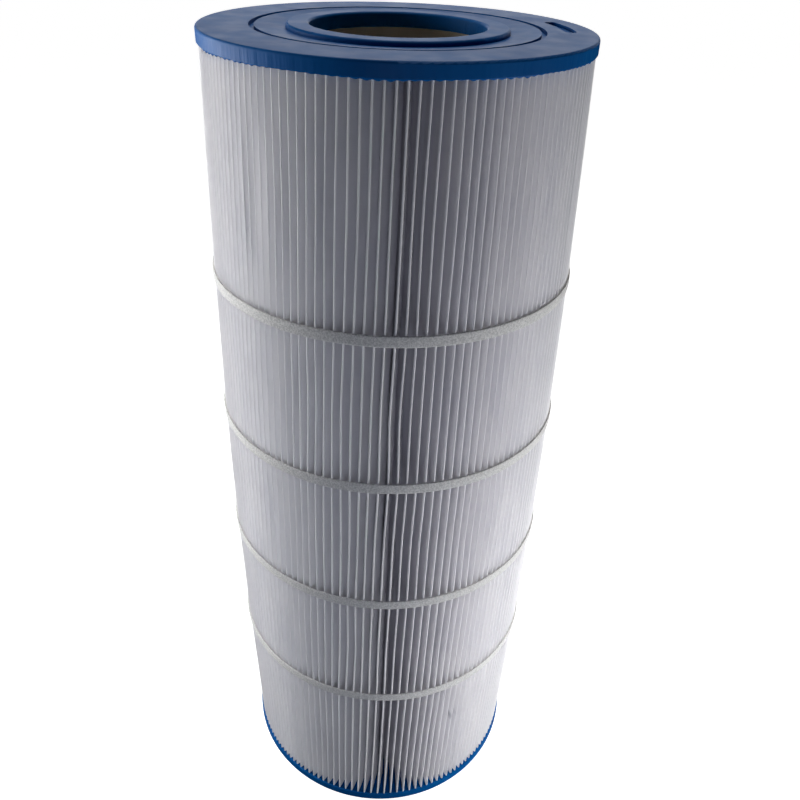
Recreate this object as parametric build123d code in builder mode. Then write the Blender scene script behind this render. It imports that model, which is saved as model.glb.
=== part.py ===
"""Pleated pool filter cartridge, 8-15/16 in across and 23-1/4 in long, with a 4 in hole through it.

A pleated polyester sheet stands round a four-section moulded core. Its ends and the core's ends
are potted in two cast urethane caps, and four glued straps hold the pleats from outside.
Millimetres, +Z up. The origin is the centre of the bottom cap's underside.
"""

import math
import os

from build123d import *

# Overall
LENGTH = 590.5
CAP_RADIUS = 113.5
HOLE_RADIUS = 50.8

# Cast end caps
TOP_CAP_HEIGHT = 7.6
BOTTOM_CAP_HEIGHT = 8.0
COLLAR_RISE = 1.0
COLLAR_RADIUS = 64.0
DISH_DEPTH_AT_COLLAR = 1.75
DISH_DEPTH_AT_GROOVE = 0.15
GROOVE_INNER_RADIUS = 81.3
GROOVE_WIDTH = 3.1
GROOVE_DEPTH = 2.2
UNDERSIDE_DEPTH_AT_COLLAR = 1.2
UNDERSIDE_DEPTH_AT_GROOVE = 0.6
RIM_FILLET = 1.3
COLLAR_FILLET = 1.6
FOOT_FILLET = 2.5
POTTING_TOP = 4.6
POTTING_BOTTOM = 5.5
MARK_RADIUS = 98.0
MARK_ANGLE = 9.0
MARK_SPAN = 21.0
MARK_WIDTH = 7.3
MARK_DEPTH = 1.8

# Pleated sheet
PLEATS = 146
PLEAT_OUTER_RADIUS = 112.3
PLEAT_INNER_RADIUS = 56.2
SHEET_THICKNESS = 0.6
FOLD_RADIUS = 0.36
SPACING_LOBES = ((1, 0.04), (4, 0.03))

# Glued lengthwise joint of the sheet, on the flank nearest the back
SEAM_WIDTH = 14.0
SEAM_THICKNESS = 0.5
SEAM_DEPTH = 3.0

# Retaining straps
STRAPS = 4
STRAP_SPACING = 101.6
STRAP_WIDTH = 7.0
STRAP_THICKNESS = 0.8
GLUE_THICKNESS = 0.25
GLUE_INSET = 0.5
SCARF_GAP = 0.4
SCARF_ANGLE = 40.0

# Moulded core
CORE_SECTIONS = 4
CORE_OUTER_RADIUS = 55.6
CORE_WALL = 3.6
SPIGOT_LENGTH = 6.0
SPIGOT_CLEARANCE = 0.05
WINDOWS_AROUND = 16
WINDOW_ROWS = 7
WINDOW_WIDTH = 15.0
WINDOW_HEIGHT = 12.5
SOLID_END_BAND = 9.0
WINDOW_CORNER = 2.0

# Worked out from the above
RING_TOP = LENGTH - COLLAR_RISE
TOP_POTTING_FACE = RING_TOP - TOP_CAP_HEIGHT
SHEET_BOTTOM = BOTTOM_CAP_HEIGHT - POTTING_BOTTOM
SHEET_TOP = TOP_POTTING_FACE + POTTING_TOP
SHEET_LENGTH = SHEET_TOP - SHEET_BOTTOM
CORE_INNER_RADIUS = CORE_OUTER_RADIUS - CORE_WALL
CORE_PITCH = SHEET_LENGTH / CORE_SECTIONS
WINDOW_PITCH = (CORE_PITCH - 2 * SOLID_END_BAND) / WINDOW_ROWS
SPIGOT_RADIUS = CORE_INNER_RADIUS + CORE_WALL / 2
GROOVE_OUTER_RADIUS = GROOVE_INNER_RADIUS + GROOVE_WIDTH
STRAP_INNER_RADIUS = PLEAT_OUTER_RADIUS + GLUE_THICKNESS
STRAP_MIDDLE = LENGTH / 2
HALF_SHEET = SHEET_THICKNESS / 2
FRONT = -math.pi / 2


def polar(radius, angle):
    """Point at that radius and angle in radians, as a vector."""
    return Vector(radius * math.cos(angle), radius * math.sin(angle))


def pleat_angle(step):
    """Angle of a fold that many pleats round from the front. The pleats are widest apart there."""
    turn = 2 * math.pi * step / PLEATS
    return FRONT + turn + sum(swing * math.sin(lobes * turn) for lobes, swing in SPACING_LOBES)


def tip_centre(index):
    """Centre of the outer fold of pleat number index."""
    return polar(PLEAT_OUTER_RADIUS - FOLD_RADIUS - HALF_SHEET, pleat_angle(index))


def root_centre(index):
    """Centre of the inner fold that follows pleat number index."""
    return polar(PLEAT_INNER_RADIUS + FOLD_RADIUS + HALF_SHEET, pleat_angle(index + 0.5))


def flank_normal(tip, root, side):
    """Unit normal of the flat flank that touches the tip circle on that side and crosses to the root's."""
    along = (root - tip).normalized()
    across = Vector(-along.Y, along.X) * side
    lean = 2 * FOLD_RADIUS / (root - tip).length
    return along * lean + across * math.sqrt(1 - lean**2)


def fold_outline(offset):
    """Edges of the closed outline of the sheet's surface that lies offset outside its middle."""
    tip_radius = FOLD_RADIUS + offset
    root_radius = FOLD_RADIUS - offset
    edges = []
    for index in range(PLEATS):
        tip, root, next_tip = tip_centre(index), root_centre(index), tip_centre(index + 1)
        rising = flank_normal(tip, root_centre(index - 1), 1)
        falling = flank_normal(tip, root, -1)
        next_rising = flank_normal(next_tip, root, 1)
        crest = tip + polar(tip_radius, pleat_angle(index))
        valley = root - polar(root_radius, pleat_angle(index + 0.5))
        crest_end = tip + falling * tip_radius
        valley_start = root - falling * root_radius
        valley_end = root - next_rising * root_radius
        edges.append(Edge.make_three_point_arc(tip + rising * tip_radius, crest, crest_end))
        edges.append(Edge.make_line(crest_end, valley_start))
        edges.append(Edge.make_three_point_arc(valley_start, valley, valley_end))
        edges.append(Edge.make_line(valley_end, next_tip + next_rising * tip_radius))
    return edges


def save(piece, name):
    """Labels a finished piece and writes it as its own STEP."""
    piece.part.label = name
    export_step(piece.part, f"parts/{name}.step")


def make_sheet():
    """The pleated sheet, one endless fold round the core, potted ends included."""
    with BuildPart() as sheet:
        with BuildSketch(Plane.XY.offset(SHEET_BOTTOM)):
            make_face(fold_outline(HALF_SHEET))
            make_face(fold_outline(-HALF_SHEET), mode=Mode.SUBTRACT)
        extrude(amount=SHEET_LENGTH)
    return sheet


def make_seam():
    """The glued strip that joins the sheet's two ends, flat on a flank in the valley at the back."""
    index = PLEATS // 2
    tip, root = tip_centre(index), root_centre(index)
    normal = flank_normal(tip, root, -1)
    start = tip + normal * (FOLD_RADIUS + HALF_SHEET)
    inward = (root - normal * (FOLD_RADIUS - HALF_SHEET) - start).normalized()
    near = start + inward * SEAM_DEPTH
    far = near + inward * SEAM_WIDTH
    with BuildPart() as seam:
        with BuildSketch(Plane.XY.offset(BOTTOM_CAP_HEIGHT)):
            with BuildLine():
                Polyline(near, far, far + normal * SEAM_THICKNESS, near + normal * SEAM_THICKNESS, close=True)
            make_face()
        extrude(amount=TOP_POTTING_FACE - BOTTOM_CAP_HEIGHT)
    return seam


def make_window_blanks(middle):
    """Blocks that fill every window of a core section whose mid-height is at middle."""
    with BuildPart() as blanks:
        for column in range(WINDOWS_AROUND):
            facing = polar(1, 2 * math.pi * column / WINDOWS_AROUND)
            face = Plane((0, 0, middle), x_dir=(-facing.Y, facing.X, 0), z_dir=facing)
            with BuildSketch(face.offset(CORE_INNER_RADIUS - CORE_WALL)):
                with GridLocations(0, WINDOW_PITCH, 1, WINDOW_ROWS):
                    RectangleRounded(WINDOW_WIDTH, WINDOW_HEIGHT, WINDOW_CORNER)
            extrude(amount=3 * CORE_WALL)
    return blanks


def make_core_section(number):
    """One moulded length of the core: a windowed tube with a socket below and a spigot above."""
    foot = SHEET_BOTTOM + number * CORE_PITCH
    top = foot + CORE_PITCH
    blanks = make_window_blanks(foot + CORE_PITCH / 2)
    with BuildPart() as section:
        with BuildSketch(Plane.XY.offset(foot)):
            Circle(CORE_OUTER_RADIUS)
            Circle(CORE_INNER_RADIUS, mode=Mode.SUBTRACT)
        extrude(amount=CORE_PITCH)
        if number > 0:
            with BuildSketch(Plane.XY.offset(foot)):
                Circle(SPIGOT_RADIUS + SPIGOT_CLEARANCE)
            extrude(amount=SPIGOT_LENGTH + SPIGOT_CLEARANCE, mode=Mode.SUBTRACT)
        if number < CORE_SECTIONS - 1:
            with BuildSketch(Plane.XY.offset(top)):
                Circle(SPIGOT_RADIUS)
                Circle(CORE_INNER_RADIUS, mode=Mode.SUBTRACT)
            extrude(amount=SPIGOT_LENGTH)
        add(blanks.part, mode=Mode.SUBTRACT)
    return section


def make_top_cap(sheet, core):
    """The top cap: flat rim, fine groove, dished floor and a raised collar round the hole."""
    with BuildPart() as cap:
        with BuildSketch(Plane.XZ):
            with BuildLine():
                Polyline(
                    (HOLE_RADIUS, TOP_POTTING_FACE),
                    (CAP_RADIUS, TOP_POTTING_FACE),
                    (CAP_RADIUS, RING_TOP),
                    (GROOVE_OUTER_RADIUS, RING_TOP),
                    (GROOVE_OUTER_RADIUS, RING_TOP - GROOVE_DEPTH),
                    (GROOVE_INNER_RADIUS, RING_TOP - GROOVE_DEPTH),
                    (GROOVE_INNER_RADIUS, RING_TOP - DISH_DEPTH_AT_GROOVE),
                    (COLLAR_RADIUS, RING_TOP - DISH_DEPTH_AT_COLLAR),
                    (COLLAR_RADIUS, LENGTH),
                    (HOLE_RADIUS, LENGTH),
                    close=True,
                )
            make_face()
        revolve(axis=Axis.Z)
        collar_edges = cap.edges().filter_by(GeomType.CIRCLE).group_by(Axis.Z)[-1]
        fillet(collar_edges, radius=COLLAR_FILLET)
        rim_edges = cap.edges().filter_by(GeomType.CIRCLE).group_by(SortBy.RADIUS)[-1]
        fillet(rim_edges.sort_by(Axis.Z)[-1], radius=RIM_FILLET)
        with BuildSketch(Plane.XY.offset(RING_TOP)):
            with BuildLine(mode=Mode.PRIVATE) as middle:
                CenterArc((0, 0), MARK_RADIUS, MARK_ANGLE - MARK_SPAN / 2, MARK_SPAN)
            SlotArc(middle.edge(), MARK_WIDTH)
        extrude(amount=-MARK_DEPTH, mode=Mode.SUBTRACT)
        add(sheet.part, mode=Mode.SUBTRACT)
        add(core.part, mode=Mode.SUBTRACT)
    return cap


def make_bottom_cap(sheet, core):
    """The bottom cap: the pleats reach its rim, and its flat underside has the groove and a shallow dish."""
    with BuildPart() as cap:
        with BuildSketch(Plane.XZ):
            with BuildLine():
                Polyline(
                    (HOLE_RADIUS, 0),
                    (COLLAR_RADIUS, 0),
                    (COLLAR_RADIUS, UNDERSIDE_DEPTH_AT_COLLAR),
                    (GROOVE_INNER_RADIUS, UNDERSIDE_DEPTH_AT_GROOVE),
                    (GROOVE_INNER_RADIUS, UNDERSIDE_DEPTH_AT_COLLAR),
                    (GROOVE_OUTER_RADIUS, UNDERSIDE_DEPTH_AT_COLLAR),
                    (GROOVE_OUTER_RADIUS, 0),
                    (CAP_RADIUS, 0),
                    (CAP_RADIUS, BOTTOM_CAP_HEIGHT),
                    (HOLE_RADIUS, BOTTOM_CAP_HEIGHT),
                    close=True,
                )
            make_face()
        revolve(axis=Axis.Z)
        foot_edges = cap.edges().filter_by(GeomType.CIRCLE).group_by(Axis.Z)[0].sort_by(SortBy.RADIUS)
        fillet(foot_edges[-1], radius=FOOT_FILLET)
        fillet(foot_edges[0], radius=COLLAR_FILLET)
        add(sheet.part, mode=Mode.SUBTRACT)
        add(core.part, mode=Mode.SUBTRACT)
    return cap


def strap_height(number):
    """Height of the middle of strap number, counted from the bottom."""
    return STRAP_MIDDLE + (number - (STRAPS - 1) / 2) * STRAP_SPACING


def make_strap(number):
    """A strap round the pleat tips, its two ends meeting in a slanted joint at the back."""
    height = strap_height(number)
    with BuildPart() as strap:
        with BuildSketch(Plane.XY.offset(height - STRAP_WIDTH / 2)):
            Circle(STRAP_INNER_RADIUS + STRAP_THICKNESS)
            Circle(STRAP_INNER_RADIUS, mode=Mode.SUBTRACT)
        extrude(amount=STRAP_WIDTH)
        with BuildSketch(Plane.XZ):
            with Locations((0, height)):
                Rectangle(SCARF_GAP, STRAP_WIDTH * 2, rotation=SCARF_ANGLE)
        extrude(amount=-CAP_RADIUS, mode=Mode.SUBTRACT)
    return strap


def make_glue(number):
    """The thin line of hot-melt glue between the pleat tips and a strap."""
    glue_width = STRAP_WIDTH - 2 * GLUE_INSET
    with BuildPart() as glue:
        with BuildSketch(Plane.XY.offset(strap_height(number) - glue_width / 2)):
            Circle(STRAP_INNER_RADIUS)
            Circle(PLEAT_OUTER_RADIUS, mode=Mode.SUBTRACT)
        extrude(amount=glue_width)
    return glue


def main():
    os.makedirs("parts", exist_ok=True)
    sheet = make_sheet()
    save(sheet, "pleated_media")
    save(make_seam(), "media_seam")
    cores = [make_core_section(number) for number in range(CORE_SECTIONS)]
    for number, core in enumerate(cores, start=1):
        save(core, f"core_section_{number}")
    save(make_bottom_cap(sheet, cores[0]), "bottom_cap")
    save(make_top_cap(sheet, cores[-1]), "top_cap")
    for number in range(STRAPS):
        save(make_strap(number), f"strap_{number + 1}")
        save(make_glue(number), f"strap_glue_{number + 1}")


main()
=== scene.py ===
"""Looks for the pleated filter cartridge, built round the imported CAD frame. +Z up.

The object's own sizes are millimetres and its meshes are made in metres. The camera, lights, floor
and material distances are metres.
"""

import math

import bmesh
import bpy
import numpy as np
from mathutils import Matrix, Vector


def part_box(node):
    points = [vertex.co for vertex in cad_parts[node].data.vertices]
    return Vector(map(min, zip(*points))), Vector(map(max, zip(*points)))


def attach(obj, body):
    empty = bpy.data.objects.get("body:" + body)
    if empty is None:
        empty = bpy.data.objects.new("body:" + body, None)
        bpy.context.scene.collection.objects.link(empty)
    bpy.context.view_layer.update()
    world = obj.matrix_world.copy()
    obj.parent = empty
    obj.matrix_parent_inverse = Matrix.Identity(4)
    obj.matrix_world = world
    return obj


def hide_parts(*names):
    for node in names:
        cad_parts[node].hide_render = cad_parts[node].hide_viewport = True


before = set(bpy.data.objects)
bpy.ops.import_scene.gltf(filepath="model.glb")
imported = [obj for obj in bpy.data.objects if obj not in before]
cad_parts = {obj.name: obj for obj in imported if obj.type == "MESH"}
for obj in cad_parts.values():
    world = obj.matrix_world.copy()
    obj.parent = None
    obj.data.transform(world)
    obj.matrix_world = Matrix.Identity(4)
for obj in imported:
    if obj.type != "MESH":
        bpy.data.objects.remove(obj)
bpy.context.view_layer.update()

MM = 0.001
SEED = 7

# The frame's own sizes in millimetres, as in the CAD
PLEATS = 146
SPACING_LOBES = ((1, 0.04), (4, 0.03))
FRONT = -math.pi / 2
TIP_RADIUS = 112.3
ROOT_RADIUS = 56.2
SHEET_THICKNESS = 0.6
FOLD_RADIUS = 0.36
SHEET_BOTTOM = 2.5
SHEET_TOP = 586.5
POT_BOTTOM = 8.0
POT_TOP = 581.9
STRAP_HEIGHTS = [sum(c.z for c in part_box(f"strap_{k}")) / 2 / MM for k in range(1, 5)]
STRAP_WIDTH = 7.0
STRAP_INNER = 112.55
STRAP_THICKNESS = 0.8
GLUE_THICKNESS = 0.25
GLUE_INSET = 0.5

# How the shown pleats depart from the CAD's straight ones: whole pleats turned from bottom to top, how
# far they stand out at mid-height, how far a flank curves sideways, and how far flanks close up on each
# other at the bottom cap and up to what height above it
TWIST_STEPS = 2.0
BULGE = 5.7
CURL = 2.8
PINCH = 0.6
PINCH_REACH = 45.0

# Random drift in millimetres, at the straps and half-way between them
TIP_DRIFT = (0.16, 0.30)
ROOT_DRIFT = (0.05, 0.08)
SINK_DRIFT = (0.0, 0.22)
BOW_DRIFT = (0.05, 0.30)

# Mesh points: how many lie on a tip's arc and on a root's, then shares of the way down and back up a
# flank, and of the way up from one held height to the next
CREST_POINTS = 7
VALLEY_POINTS = 4
STOPS_IN = (0.05, 0.16, 0.34, 0.6, 0.85)
STOPS_OUT = tuple(1 - s for s in reversed(STOPS_IN))
ROW_SHARES = (0, 0.02, 0.05, 0.12, 0.22, 0.34, 0.46, 0.58, 0.70, 0.81, 0.90, 0.96, 0.985)

# Seam strip: its thickness at three points down the flank, and the thin edge that runs past the last
SEAM_THICKNESSES = (0.4, 0.55, 0.5)
SEAM_SHOULDER = 0.8
SEAM_EDGE = 1.5
SEAM_EDGE_THICKNESS = 0.1

# Felt strap: its section as shares of thickness and width; its fuzz, rougher at the edges; its slow
# wave up and down and the noise that is smoothed into it; the share it thins by between tips; and the
# gap and slant where its ends meet
STRAP_SECTION = (
    (0.0, -0.50), (0.12, -0.5), (0.62, -0.49), (0.86, -0.455), (0.95, -0.38), (1.0, -0.2), (1.0, 0.0),
    (1.0, 0.2), (0.95, 0.38), (0.86, 0.455), (0.62, 0.49), (0.12, 0.5), (0.0, 0.50),
)
STEPS_PER_PLEAT = 4
FUZZ = 0.035
EDGE_FUZZ = 1.5
WAVE = 0.12
WAVE_WINDOW = 41
WAVE_SPREAD = 4.5
STRAP_SAG = 0.12
END_GAP = 0.25
END_SLANT = 4.0

# Casting flash: mesh steps in each pleat, how far in it starts from its outer face, and the windows
# over which its ragged edge and its thicker and thinner stretches are smoothed
FLASH_STEPS = 6
FLASH_DEPTH = 2.2
CREEP_WINDOW = 9
PATCH_WINDOW = 61


# ---------------------------------------------------------------- node helpers
class Nodes:
    """A material's node tree with one Principled shader, and short calls to add to it."""

    def __init__(self, name, **settings):
        self.material = bpy.data.materials.new(name)
        self.material.use_nodes = True
        self.tree = self.material.node_tree
        self.shader = self.tree.nodes["Principled BSDF"]
        for socket, value in settings.items():
            self.shader.inputs[socket.replace("_", " ")].default_value = value

    def add(self, kind, inputs=None, **attributes):
        node = self.tree.nodes.new(kind)
        for key, value in attributes.items():
            setattr(node, key, value)
        for key, value in (inputs or {}).items():
            self.put(value, node.inputs[key])
        return node

    def put(self, value, socket):
        if isinstance(value, bpy.types.NodeSocket):
            self.tree.links.new(value, socket)
        else:
            socket.default_value = value

    def shade(self, socket, value):
        self.put(value, self.shader.inputs[socket])

    def place(self):
        return self.add("ShaderNodeTexCoord").outputs["Object"]

    def stretched(self, scale):
        return self.add("ShaderNodeMapping", {"Vector": self.place(), "Scale": scale}).outputs["Vector"]

    def noise(self, vector, scale, detail=3.0, rough=0.55):
        inputs = {"Vector": vector, "Scale": scale, "Detail": detail, "Roughness": rough}
        return self.add("ShaderNodeTexNoise", inputs).outputs["Fac"]

    def math(self, operation, a, b):
        return self.add("ShaderNodeMath", {0: a, 1: b}, operation=operation).outputs["Value"]

    def span(self, value, low, high, to_low=0.0, to_high=1.0):
        made = self.add(
            "ShaderNodeMapRange",
            {"Value": value, "From Min": low, "From Max": high, "To Min": to_low, "To Max": to_high},
            interpolation_type="SMOOTHSTEP",
        )
        return made.outputs["Result"]

    def mix(self, factor, a, b):
        made = self.add("ShaderNodeMix", data_type="RGBA")
        for socket, value in zip([made.inputs[0], made.inputs[6], made.inputs[7]], [factor, a, b]):
            self.put(value, socket)
        return made.outputs[2]

    def bump(self, height, strength, distance, normal=None):
        made = self.add("ShaderNodeBump", {"Height": height, "Strength": strength, "Distance": distance})
        if normal:
            self.put(normal, made.inputs["Normal"])
        return made.outputs["Normal"]


def rgb(red, green, blue):
    return (red, green, blue, 1.0)


# ---------------------------------------------------------------- materials
def media_material():
    """Spun-bonded polyester: cloudy white, matte, with fine fibres and one faint grey smudge."""
    n = Nodes("filter_media", Roughness=0.88, Specular_IOR_Level=0.25, Sheen_Weight=0.08, Sheen_Roughness=0.5)
    here = n.place()
    cloud = n.noise(n.stretched((1.0, 1.0, 0.35)), 60.0, 4.0)
    white = n.mix(n.span(cloud, 0.3, 0.7), rgb(0.893, 0.885, 0.903), rgb(0.931, 0.92, 0.929))
    fibre = n.noise(n.stretched((1.0, 1.0, 0.12)), 2600.0, 2.0, 0.7)
    white = n.mix(n.span(fibre, 0.35, 0.75, 0.0, 0.35), white, rgb(0.95, 0.95, 0.95))
    smudge = n.add("ShaderNodeVectorMath", {0: here, 1: (0.0572, -0.0966, 0.096)}, operation="DISTANCE")
    spread = n.math("ADD", smudge.outputs["Value"], n.math("MULTIPLY", n.noise(here, 300.0), 0.004))
    grey = n.span(spread, 0.0015, 0.0085, 0.55, 0.0)
    n.shade("Base Color", n.mix(grey, white, rgb(0.22, 0.23, 0.27)))
    weave = n.bump(fibre, 0.35, 0.00012)
    n.shade("Normal", n.bump(n.noise(here, 420.0, 3.0), 0.25, 0.0004, weave))
    return n.material


def strap_material():
    """Needled felt: soft off-white with short random fibres."""
    n = Nodes("strap_felt", Roughness=0.92, Specular_IOR_Level=0.2, Sheen_Weight=0.25, Sheen_Roughness=0.6)
    here = n.place()
    felt = n.noise(here, 900.0, 5.0, 0.7)
    n.shade("Base Color", n.mix(n.span(felt, 0.38, 0.62), rgb(0.51, 0.51, 0.50), rgb(0.77, 0.765, 0.75)))
    fibres = n.bump(n.noise(here, 2800.0, 2.0), 0.4, 0.0001)
    n.shade("Normal", n.bump(felt, 0.6, 0.0003, fibres))
    return n.material


def cap_material():
    """Cast blue urethane: semi-gloss, slightly uneven in colour, faint ripples from the open casting."""
    n = Nodes("cap_urethane", Specular_IOR_Level=0.075, IOR=1.5)
    here = n.place()
    swirl = n.noise(here, 22.0, 4.0, 0.6)
    n.shade("Base Color", n.mix(n.span(swirl, 0.3, 0.7), rgb(0.001, 0.084, 0.295), rgb(0.0015, 0.102, 0.34)))
    n.shade("Roughness", n.span(n.noise(here, 70.0, 3.0), 0.3, 0.7, 0.44, 0.52))
    fine = n.bump(n.noise(here, 900.0, 2.0), 0.06, 0.0001)
    soft = n.bump(n.noise(here, 60.0, 2.0), 0.05, 0.0006, fine)
    height = n.add("ShaderNodeSeparateXYZ", {"Vector": here}).outputs["Z"]
    on_skirt = n.span(height, (POT_TOP + 5.0) * MM, (POT_TOP + 7.0) * MM, 0.35, 0.0)
    ridges = n.noise(n.stretched((1.0, 1.0, 0.03)), 240.0, 2.0)
    n.shade("Normal", n.bump(ridges, on_skirt, 0.0012, soft))
    return n.material


def core_material():
    """Moulded off-white plastic with a satin skin, its colour tinted tan as painted warm light that comes in
    through the pleats.
    """
    n = Nodes("core_plastic", Specular_IOR_Level=0.4)
    here = n.place()
    tone = n.noise(here, 35.0, 3.0)
    # The two tans are painted light: the warm glow that comes in through the pleats, laid into the off-white
    # plastic's colour
    n.shade("Base Color", n.mix(n.span(tone, 0.3, 0.7), rgb(0.58, 0.51, 0.40), rgb(0.66, 0.59, 0.47)))
    n.shade("Roughness", n.span(n.noise(here, 150.0), 0.3, 0.7, 0.45, 0.6))
    n.shade("Normal", n.bump(n.noise(here, 1200.0, 2.0), 0.15, 0.0001))
    return n.material


def glue_material():
    """Set hot-melt glue: pale, waxy and a little uneven."""
    n = Nodes("hot_melt", Roughness=0.35, Specular_IOR_Level=0.5)
    tone = n.noise(n.place(), 250.0, 3.0)
    n.shade("Base Color", n.mix(n.span(tone, 0.3, 0.7), rgb(0.70, 0.68, 0.60), rgb(0.80, 0.78, 0.71)))
    n.shade("Normal", n.bump(tone, 0.4, 0.0003))
    return n.material


# ---------------------------------------------------------------- pleated sheet
def pleat_angle(step):
    """Angle of a fold that many pleats round from the front, as in the CAD."""
    turn = 2 * np.pi * step / PLEATS
    return FRONT + turn + sum(swing * np.sin(lobes * turn) for lobes, swing in SPACING_LOBES)


def knots_between_straps():
    """Heights where the folds are held (caps and straps) and the free heights between them."""
    held = [POT_BOTTOM, *STRAP_HEIGHTS, POT_TOP]
    return np.array(held), np.array([(a + b) / 2 for a, b in zip(held, held[1:])])


def drift(rng, heights, at_straps, between):
    """Random drift for every pleat at each height: none in the caps, one value per strap and per span.

    Neighbouring pleats drift partly together.
    """
    held, free = knots_between_straps()
    knots = np.sort(np.concatenate([held, free]))
    amounts = np.where(np.isin(knots, free), between, at_straps)
    amounts[0] = amounts[-1] = 0.0
    raw = rng.normal(size=(len(knots), PLEATS))
    together = (raw + 2 * np.roll(raw, 1, 1) + 2 * np.roll(raw, -1, 1) + np.roll(raw, 2, 1)) / 3.2
    values = (0.6 * raw + 0.8 * together) * amounts[:, None]
    out = np.zeros((len(heights), PLEATS))
    for row, height in enumerate(heights):
        spot = int(np.clip(np.searchsorted(knots, height) - 1, 0, len(knots) - 2))
        share = np.clip((height - knots[spot]) / (knots[spot + 1] - knots[spot]), 0, 1)
        share = share * share * (3 - 2 * share) * 0.6 + share * 0.4
        out[row] = values[spot] * (1 - share) + values[spot + 1] * share
    return out


def sheet_heights():
    """Rows of the sheet's mesh: close together at the caps and straps, wider between."""
    held, _ = knots_between_straps()
    rows = [SHEET_BOTTOM]
    for low, high in zip(held, held[1:]):
        reach = high - low
        rows += [low + reach * share for share in ROW_SHARES]
    return np.array(rows + [POT_TOP, SHEET_TOP])


def bulge(height):
    """How far the pleats stand proud of straight at that height."""
    return BULGE * np.sin(np.pi * np.clip((height - POT_BOTTOM) / (POT_TOP - POT_BOTTOM), 0, 1))


def unit(angle):
    return np.stack([np.cos(angle), np.sin(angle)], -1)


def fold_shape(rng, heights):
    """Centres of every tip and root at every height, and how far each flank bows."""
    up = np.clip((heights - POT_BOTTOM) / (POT_TOP - POT_BOTTOM), 0, 1)[:, None]
    steps = np.arange(PLEATS)[None] - TWIST_STEPS * (1 - up)
    slip = drift(rng, heights, *TIP_DRIFT)
    slip_root = drift(rng, heights, *ROOT_DRIFT)
    sink = np.abs(drift(rng, heights, *SINK_DRIFT))
    tip_angle = pleat_angle(steps) + slip / TIP_RADIUS
    root_angle = pleat_angle(steps + 0.5) + slip_root / ROOT_RADIUS
    half = SHEET_THICKNESS / 2
    tip = (TIP_RADIUS + bulge(heights)[:, None] - FOLD_RADIUS - half - sink)[..., None] * unit(tip_angle)
    root = (ROOT_RADIUS + FOLD_RADIUS + half) * unit(root_angle)
    pinch = PINCH * np.clip(1 - (heights - POT_BOTTOM) / PINCH_REACH, 0, 1)[:, None]
    falling, rising = drift(rng, heights, *BOW_DRIFT), drift(rng, heights, *BOW_DRIFT)
    bow = np.stack([falling + pinch + CURL, rising + pinch - CURL], -1)
    return tip, root, tip_angle, root_angle, bow


def flank_normal(tip, root, side):
    """Unit normal of the flank that touches the tip circle on that side and crosses to the root's."""
    along = root - tip
    length = np.linalg.norm(along, axis=-1, keepdims=True)
    along = along / length
    across = np.stack([-along[..., 1], along[..., 0]], -1) * side
    lean = 2 * FOLD_RADIUS / length
    return along * lean + across * np.sqrt(1 - lean**2)


def arc(centre, radius, start, end, middle, count):
    """Points on an arc from direction start to direction end through direction middle."""
    mid = np.arctan2(middle[..., 1], middle[..., 0])
    first = (np.arctan2(start[..., 1], start[..., 0]) - mid + np.pi) % (2 * np.pi) - np.pi
    last = (np.arctan2(end[..., 1], end[..., 0]) - mid + np.pi) % (2 * np.pi) - np.pi
    share = np.linspace(0, 1, count)
    angle = mid[..., None] + first[..., None] * (1 - share) + last[..., None] * share
    return centre[..., None, :] + radius * unit(angle)


def flank(start, end, normal, bow, stops):
    """Points inside a flank, bowed sideways along its normal."""
    share = np.array(stops)
    line = start[..., None, :] * (1 - share)[:, None] + end[..., None, :] * share[:, None]
    return line + normal[..., None, :] * (bow[..., None] * np.sin(np.pi * share))[..., None]


def surface_rows(shape, offset):
    """One closed polyline per height: the sheet's surface that lies offset outside its middle."""
    tip, root, tip_angle, root_angle, bow = shape
    next_tip = np.roll(tip, -1, 1)
    last_root = np.roll(root, 1, 1)
    rising = flank_normal(tip, last_root, 1)
    falling = flank_normal(tip, root, -1)
    next_rising = flank_normal(next_tip, root, 1)
    outer, inner = FOLD_RADIUS + offset, FOLD_RADIUS - offset
    crest = arc(tip, outer, rising, falling, unit(tip_angle), CREST_POINTS)
    valley = arc(root, inner, -falling, -next_rising, -unit(root_angle), VALLEY_POINTS)
    next_start = next_tip + next_rising * outer
    down = flank(crest[..., -1, :], valley[..., 0, :], falling, bow[..., 0], STOPS_IN)
    rise = flank(valley[..., -1, :], next_start, next_rising, bow[..., 1], STOPS_OUT)
    points = np.concatenate([crest, down, valley, rise], -2)
    return points.reshape(points.shape[0], -1, 2)


def round_points(radius, angle, height):
    """Points at those radii, angles and heights, in millimetres."""
    return np.stack(np.broadcast_arrays(radius * np.cos(angle), radius * np.sin(angle), height), -1)


def skin(rows, heights):
    """Vertices of polylines stacked at heights, in metres."""
    count = rows.shape[1]
    z = np.repeat(heights, count).reshape(len(heights), count, 1)
    return np.concatenate([rows, z], -1).reshape(-1, 3) * MM


def grid_faces(rows, count, first=0, flip=False):
    """Quads between neighbouring closed rows of count points each."""
    columns = np.arange(count)
    beyond = (columns + 1) % count
    base = first + np.arange(rows - 1)[:, None] * count
    quad = np.stack([base + columns, base + beyond, base + count + beyond, base + count + columns], -1)
    quad = quad.reshape(-1, 4)
    return quad[:, ::-1] if flip else quad


def mesh_object(name, vertices, faces, material):
    """An object from arrays of points and equal-sided faces."""
    faces = np.asarray(faces, np.int32)
    mesh = bpy.data.meshes.new(name)
    mesh.vertices.add(len(vertices))
    mesh.vertices.foreach_set("co", np.asarray(vertices, np.float32).ravel())
    mesh.loops.add(faces.size)
    mesh.loops.foreach_set("vertex_index", faces.ravel())
    mesh.polygons.add(len(faces))
    mesh.polygons.foreach_set("loop_start", np.arange(0, faces.size, faces.shape[1], dtype=np.int32))
    mesh.polygons.foreach_set("use_smooth", np.full(len(faces), True))
    mesh.update(calc_edges=True)
    mesh.validate()
    mesh.materials.append(material)
    made = bpy.data.objects.new(name, mesh)
    bpy.context.scene.collection.objects.link(made)
    return made


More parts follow.
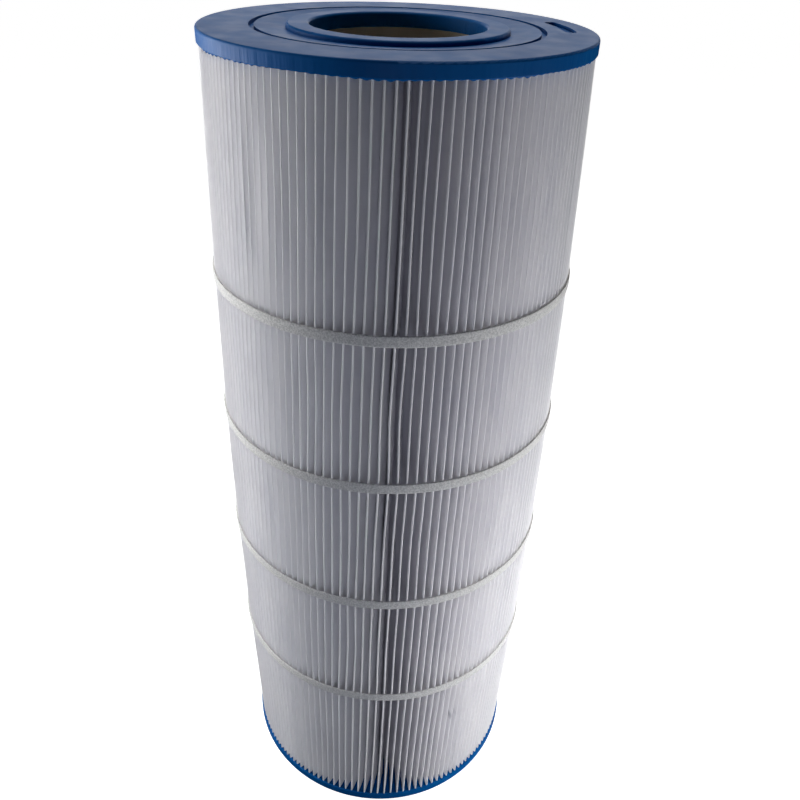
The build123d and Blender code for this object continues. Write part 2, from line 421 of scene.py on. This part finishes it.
def pleated_sheet(material):
    """The folded sheet with its thickness, its seam strip, and its length round the folds at mid-height."""
    heights = sheet_heights()
    shape = fold_shape(np.random.default_rng(SEED), heights)
    outside = surface_rows(shape, SHEET_THICKNESS / 2)
    inside = surface_rows(shape, -SHEET_THICKNESS / 2)
    count, rows = outside.shape[1], len(heights)
    vertices = np.concatenate([skin(outside, heights), skin(inside, heights)])
    faces = [grid_faces(rows, count), grid_faces(rows, count, rows * count, flip=True)]
    columns = np.arange(count)
    beyond = (columns + 1) % count
    for row, turned in ((0, False), (rows - 1, True)):
        a, b = row * count, (rows + row) * count
        rim = np.stack([a + columns, b + columns, b + beyond, a + beyond], -1)
        faces.append(rim[:, ::-1] if turned else rim)
    sheet = mesh_object("pleated_sheet", vertices, np.concatenate(faces), material)
    seam = seam_strip(outside, heights, material)
    middle = surface_rows(shape, 0.0)[rows // 2]
    length = np.linalg.norm(np.roll(middle, -1, 0) - middle, axis=1).sum() * MM
    return sheet, seam, length


def seam_strip(outside, heights, material):
    """The lapped strip where the sheet's ends are joined, on the flank nearest the back."""
    per_pleat = outside.shape[1] // PLEATS
    start = (PLEATS // 2) * per_pleat + CREST_POINTS
    inside_caps = (heights >= POT_BOTTOM) & (heights <= POT_TOP)
    a, b = outside[inside_caps, start], outside[inside_caps, start + 1]
    c = outside[inside_caps, start + 2]
    along = (c - a) / np.linalg.norm(c - a, axis=1, keepdims=True)
    away = np.stack([-along[:, 1], along[:, 0]], -1)
    next_crest = outside[inside_caps, start + per_pleat - 1]
    away *= np.sign((away * (next_crest - c)).sum(1, keepdims=True))
    at_a, at_b, at_c = SEAM_THICKNESSES
    edge = c + along * SEAM_EDGE + away * SEAM_EDGE_THICKNESS
    shoulder = c + along * SEAM_SHOULDER + away * at_c
    ring = np.stack([a, b, c, edge, shoulder, b + away * at_b, a + away * at_a], 1)
    z = heights[inside_caps]
    count, rows = ring.shape[1], len(z)
    return mesh_object("seam_strip", skin(ring, z), grid_faces(rows, count), material)


# ---------------------------------------------------------------- straps
def strap(number, height, material, rng):
    """A felt strap: rounded edges, slightly flat between pleat tips, its ends meeting at the back."""
    profile = np.array(STRAP_SECTION)
    up = (height - POT_BOTTOM) / (POT_TOP - POT_BOTTOM)
    around = np.arange(PLEATS * STEPS_PER_PLEAT + 1) / STEPS_PER_PLEAT
    steps = around + PLEATS / 2 - TWIST_STEPS * (1 - up)
    angle = pleat_angle(steps)
    gap = END_GAP / TIP_RADIUS
    angle = angle[0] + gap + (angle - angle[0]) * (1 - 2 * gap / (angle[-1] - angle[0]))
    between = np.sin(np.pi * (steps + TWIST_STEPS * (1 - up))) ** 2
    fuzz = rng.normal(size=(len(angle), len(profile))) * FUZZ
    noise = rng.normal(size=len(angle) + WAVE_WINDOW - 1)
    slow = np.convolve(noise, np.hanning(WAVE_WINDOW), "valid") / WAVE_SPREAD * WAVE
    depth, width = profile[:, 0], profile[:, 1]
    felt = STRAP_THICKNESS * depth * (1 - STRAP_SAG * between[:, None])
    radius = STRAP_INNER + bulge(height) + felt + fuzz * (depth > 0.5)
    z = height + STRAP_WIDTH * width + slow[:, None] + fuzz * (np.abs(width) > 0.3) * EDGE_FUZZ
    ends = np.minimum(np.arange(len(angle)), np.arange(len(angle))[::-1])
    slant = np.where(ends[:, None] < 1, width * END_SLANT / TIP_RADIUS, 0.0)
    points = round_points(radius, angle[:, None] + slant, z)
    rows, count = points.shape[:2]
    faces = grid_faces(rows, count, flip=True)
    made = mesh_object(f"felt_strap_{number}", points.reshape(-1, 3) * MM, faces, material)
    close_ends(made)
    return made


def glue_line(number, height, material):
    """The thin line of glue between the standing-out pleat tips and a strap."""
    angle = pleat_angle(np.arange(PLEATS * STEPS_PER_PLEAT) / STEPS_PER_PLEAT)
    outer = STRAP_INNER + bulge(height)
    half = STRAP_WIDTH / 2 - GLUE_INSET
    corners = ((0.0, -half), (0.0, half), (GLUE_THICKNESS, half), (GLUE_THICKNESS, -half))
    points = np.stack([round_points(outer - inset, angle, height + z) for inset, z in corners], 0)
    count = points.shape[1]
    closing = grid_faces(2, count) + np.array([[3 * count, 3 * count, -count, -count]])
    faces = np.concatenate([grid_faces(4, count), closing])
    return mesh_object(f"glue_line_{number}", points.reshape(-1, 3) * MM, faces, material)


def close_ends(made):
    """Fills a tube's two open ends."""
    work = bmesh.new()
    work.from_mesh(made.data)
    bmesh.ops.holes_fill(work, edges=[e for e in work.edges if e.is_boundary], sides=0)
    bmesh.ops.recalc_face_normals(work, faces=work.faces)
    work.to_mesh(made.data)
    work.free()


# ---------------------------------------------------------------- casting flash
def smoothed_round(values, window):
    """Values round a ring, each averaged with its neighbours. A Hann window adds up to half its gaps."""
    count = len(values)
    summed = np.convolve(np.tile(values, 3), np.hanning(window), "same")[count : 2 * count]
    return summed / ((window - 1) / 2)


def flash_ring(name, radius, base, reach, leaks, material, rng, upward):
    """The thin ragged edge of urethane that crept between the pleats past a cap.

    A leak is a stretch where more crept out: its angle from the front, its half width, both in
    degrees, and how much more.
    """
    around = PLEATS * FLASH_STEPS
    steps = np.arange(around) / FLASH_STEPS
    angle = pleat_angle(steps)
    valley = np.sin(np.pi * steps) ** 2
    creep = smoothed_round(rng.random(around), CREEP_WINDOW)
    patch = smoothed_round(rng.random(around), PATCH_WINDOW)
    spread = np.clip((patch - 0.42) * 8, 0.25, 1.6)
    for place, half_width, amount in leaks:
        away = (np.degrees(angle - FRONT) - place + 180) % 360 - 180
        spread = spread + amount * np.exp(-((away / half_width) ** 2))
    tall = reach * (0.15 + 0.9 * creep * (0.35 + 0.65 * valley)) * spread
    way = 1 if upward else -1
    inner, outer = radius - FLASH_DEPTH, radius
    behind = [(inner, -0.3), (inner, 0.35), (inner + 1.2, 0.8)]
    in_front = [(outer - 0.25, 1.0), (outer, 0.7), (outer, -0.3)]
    rings = [
        round_points(distance, angle, base + way * tall * share) for distance, share in behind + in_front
    ]
    points = np.stack(rings, 0)
    rows, count = points.shape[:2]
    faces = grid_faces(rows, count, flip=upward)
    beyond = (rows - 2) * count
    closing = grid_faces(2, count, flip=not upward) + np.array([[0, 0, beyond, beyond]])
    return mesh_object(name, points.reshape(-1, 3) * MM, np.concatenate([faces, closing]), material)


# ---------------------------------------------------------------- stage
CAMERA_PLACE = (0.0, -0.4918, 0.65294)
CAMERA_PITCH, CAMERA_YAW, CAMERA_ROLL = -32.867, -1.036, 2.133
CAMERA_LENS = 35.3


def camera():
    """Looks down at the cartridge from in front, as in the reference view."""
    pitch, yaw, roll = (math.radians(turn) for turn in (CAMERA_PITCH, CAMERA_YAW, CAMERA_ROLL))
    forward = Vector((-math.sin(yaw) * math.cos(pitch), math.cos(yaw) * math.cos(pitch), math.sin(pitch)))
    right = Vector((math.cos(yaw), math.sin(yaw), 0.0))
    up = right.cross(forward)
    rolled = right * math.cos(roll) + up * math.sin(roll)
    top = up * math.cos(roll) - right * math.sin(roll)
    data = bpy.data.cameras.new("camera")
    data.sensor_width = 36.0
    data.lens = CAMERA_LENS
    data.clip_start = 0.01
    made = bpy.data.objects.new("camera", data)
    facing = Matrix((rolled, top, -forward)).transposed().to_4x4()
    made.matrix_world = Matrix.Translation(CAMERA_PLACE) @ facing
    bpy.context.scene.collection.objects.link(made)
    bpy.context.scene.camera = made


def softbox(name, azimuth, distance, height, size, radiance, colour=(1, 1, 1), aim=None, gloss_only=False):
    """A rectangular studio light that many degrees round from the front, facing the cartridge.

    It looks level at the axis unless aim says where. A gloss-only light shows only in reflections.
    """
    data = bpy.data.lights.new(name, "AREA")
    data.shape = "RECTANGLE"
    data.size, data.size_y = size
    data.energy = radiance * size[0] * size[1] * math.pi
    data.color = colour
    turn = math.radians(azimuth)
    place = Vector((distance * math.sin(turn), -distance * math.cos(turn), height))
    look = (Vector(aim) if aim else Vector((0, 0, height))) - place
    made = bpy.data.objects.new(name, data)
    made.location = place
    made.rotation_euler = look.to_track_quat("-Z", "Y").to_euler()
    made.visible_camera = False
    made.visible_diffuse = not gloss_only
    bpy.context.scene.collection.objects.link(made)


# Light goes to and fro many times between the pale flanks before it comes out of a fold.
FOLD_BOUNCES = 12

# Each light: name, degrees round from the front, distance from the axis, height, width and height of
# the box, radiance, colour, aim, gloss only
LIGHTS = (
    ("left", -101, 0.72, 0.44, (0.5, 0.6), 8.8),
    ("right", 77, 0.50, 0.145, (0.4, 0.36), 6.9),
    ("bounce", 0, 0.42, 0.012, (0.7, 0.3), 0.45, (0.88, 0.92, 1.0), (0, 0, 0.25)),
    ("front", 0, 0.62, 0.38, (0.08, 0.35), 5.6, (0.78, 0.83, 0.99), (0, 0, 0.28)),
    ("back", 180, 1.6, 0.95, (2.4, 0.7), 1.2, (1, 1, 1), (0, 0, 0.6), True),
    ("back_fill", 180, 1.6, 0.60, (1.2, 1.0), 0.75, (1, 1, 1), (0, 0, 0.3)),
    ("top", 180, 0.45, 1.6, (0.9, 0.9), 2.7, (1, 1, 1), (0, 0, 0.59)),
)


FLOOR_RADIUS = 40.0
FLOOR_DROP = 0.0002


def stage():
    """A plain pale floor and surroundings that shed no light, and the studio lights."""
    world = bpy.data.worlds.new("studio")
    world.use_nodes = True
    world.node_tree.nodes["Background"].inputs["Color"].default_value = rgb(1.0, 1.0, 1.0)
    world.node_tree.nodes["Background"].inputs["Strength"].default_value = 1.0
    world.cycles_visibility.diffuse = False
    world.cycles_visibility.glossy = False
    bpy.context.scene.world = world
    bpy.context.scene.view_settings.view_transform = "Standard"
    bpy.context.scene.cycles.diffuse_bounces = FOLD_BOUNCES
    bpy.context.scene.cycles.max_bounces = FOLD_BOUNCES
    n = Nodes("studio_floor", Roughness=0.9, Specular_IOR_Level=0.0, Emission_Strength=1.0)
    n.shader.inputs["Emission Color"].default_value = rgb(1.0, 1.0, 1.0)
    n.shader.inputs["Base Color"].default_value = rgb(0.5, 0.5, 0.5)
    bpy.ops.mesh.primitive_circle_add(
        vertices=96, radius=FLOOR_RADIUS, fill_type="NGON", location=(0, 0, -FLOOR_DROP)
    )
    floor = bpy.context.object
    floor.name = "studio_floor"
    floor.data.materials.append(n.material)
    floor.visible_diffuse = False
    floor.visible_glossy = False
    for light in LIGHTS:
        softbox(*light)


# Each flash: name, radius, height of the cap's face, reach past it, leaks, whether it points up
FLASHES = (
    ("top_flash", 113.2, POT_TOP, 1.5, ((-47, 13, 0.9), (0, 18, 0.5), (50, 10, 0.5)), False),
    ("bottom_flash", 113.0, POT_BOTTOM, 0.5, (), True),
)


def stand_for(piece, node):
    """The piece moves with the one body and takes a CAD node's place."""
    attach(piece, "root")
    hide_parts(node)


def main():
    rng = np.random.default_rng(SEED + 1)
    media = media_material()
    felt = strap_material()
    blue = cap_material()
    plastic = core_material()
    glue = glue_material()
    sheet, seam, length = pleated_sheet(media)
    stand_for(sheet, "pleated_media")
    stand_for(seam, "media_seam")
    for number, height in enumerate(STRAP_HEIGHTS, 1):
        stand_for(strap(number, height, felt, rng), f"strap_{number}")
        stand_for(glue_line(number, height, glue), f"strap_glue_{number}")
    for name, radius, base, reach, leaks, upward in FLASHES:
        flash = flash_ring(name, radius, base, reach, leaks, blue, rng, upward)
        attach(flash, "root")
    looks = {"top_cap": blue, "bottom_cap": blue}
    looks.update({f"core_section_{k}": plastic for k in range(1, 5)})
    for node, material in looks.items():
        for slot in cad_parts[node].material_slots:
            slot.material = material
    camera()
    stage()


main()
